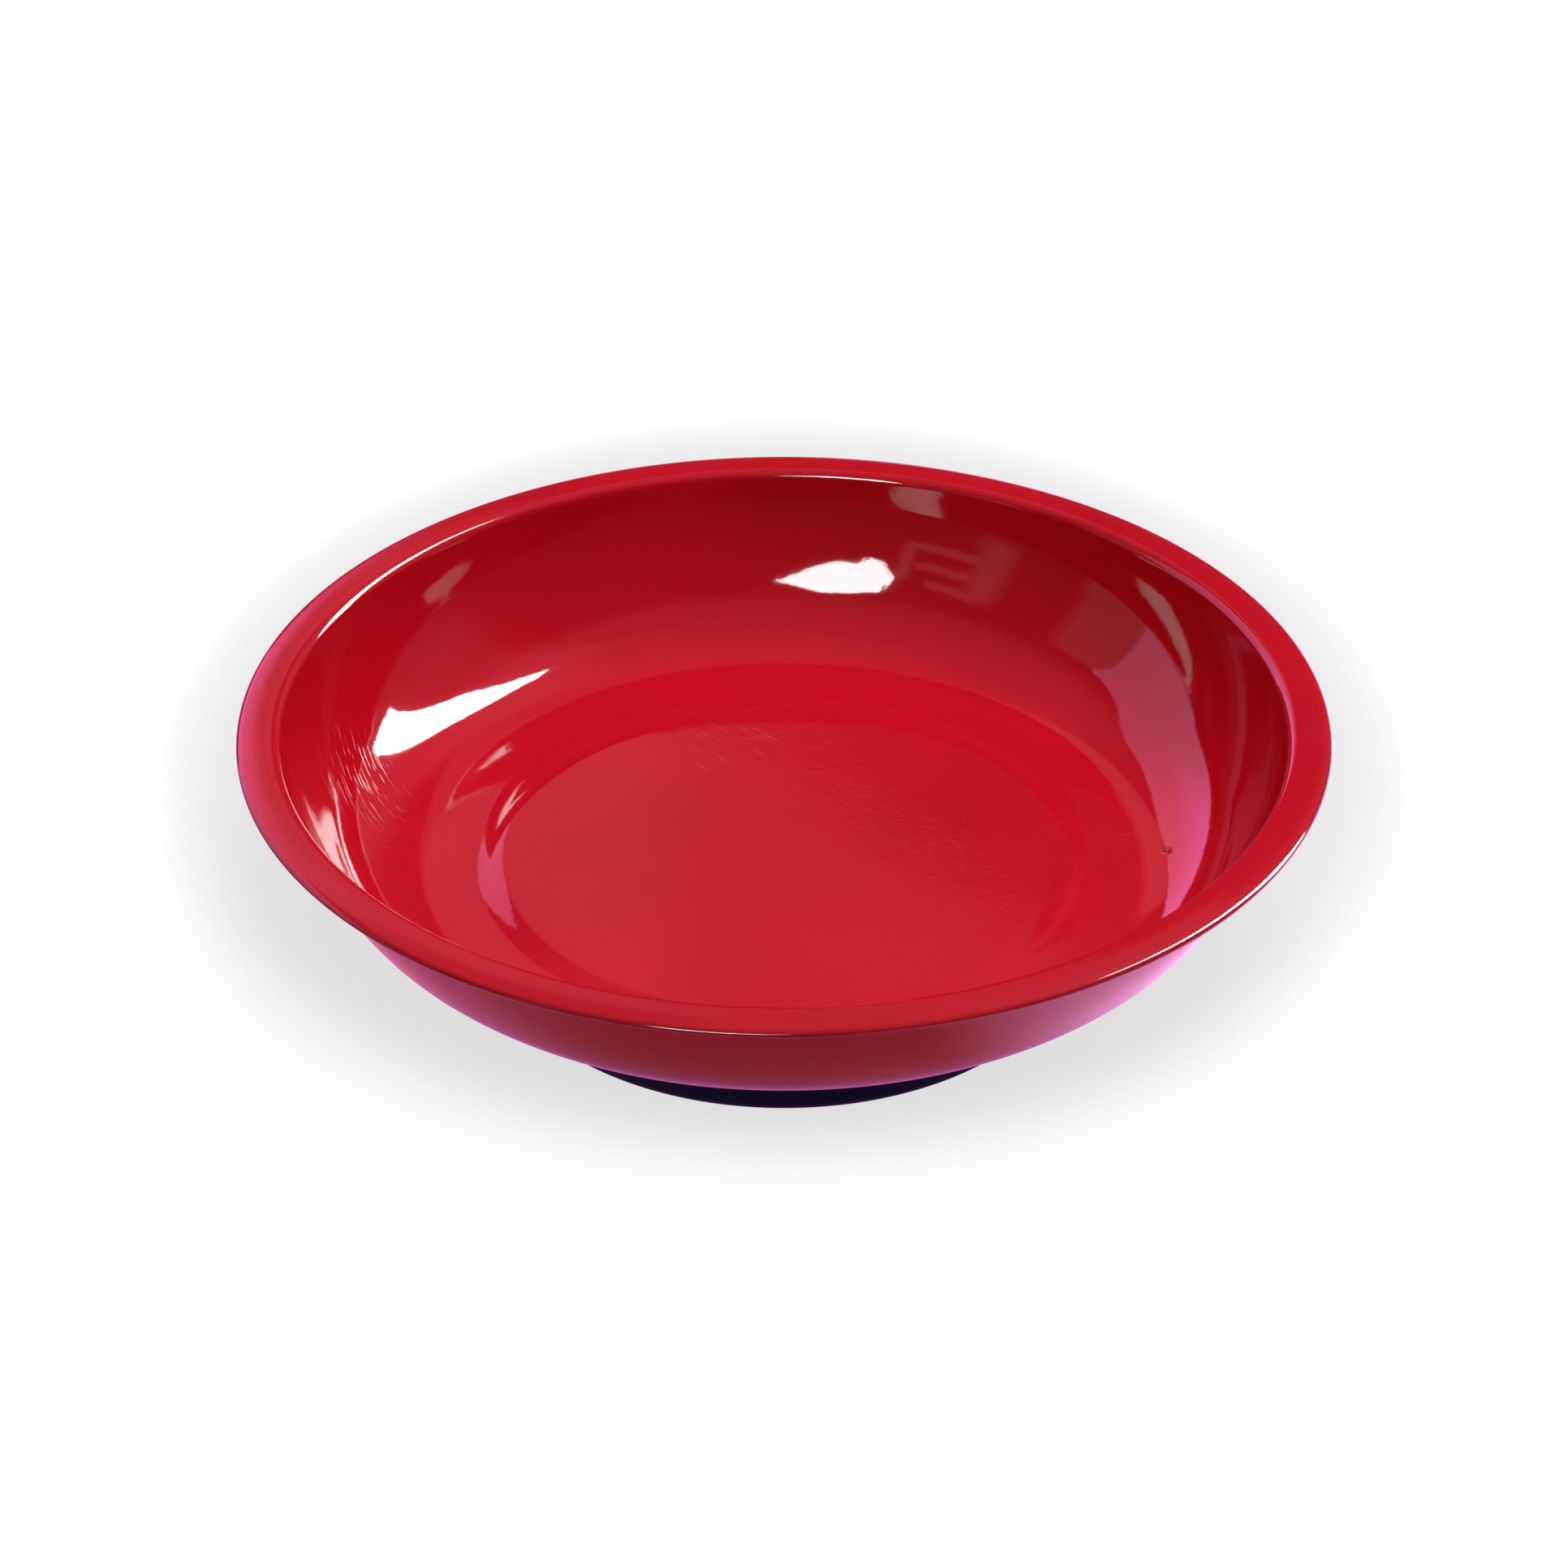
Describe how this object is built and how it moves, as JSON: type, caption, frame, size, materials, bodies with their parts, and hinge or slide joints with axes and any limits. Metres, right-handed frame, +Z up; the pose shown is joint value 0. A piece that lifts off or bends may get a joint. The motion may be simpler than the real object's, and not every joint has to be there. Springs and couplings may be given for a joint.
{
  "type": "magnetic parts tray",
  "caption": "Round pressed-steel bowl with a ledge rim and a raised flat floor over a rubber-booted ring magnet, which holds loose screws and small steel parts in place",
  "frame": {"origin": "middle of the rubber boot's underside, on the surface that the tray stands on", "axes": "+Z points up out of the bowl along its axis of revolution; +X and +Y run square to each other across the rim"},
  "size_m": [0.15, 0.15, 0.037],
  "materials": {
    "red_paint": "gloss",
    "bond": "matte",
    "ferrite": "matte",
    "steel": "satin",
    "black_rubber": "matte"
  },
  "bodies": {
    "root": {"dish": "red_paint", "bond_pad": "bond", "ring_magnet": "ferrite", "back_plate": "steel", "rubber_boot": "black_rubber"}
  },
  "joints": []
}
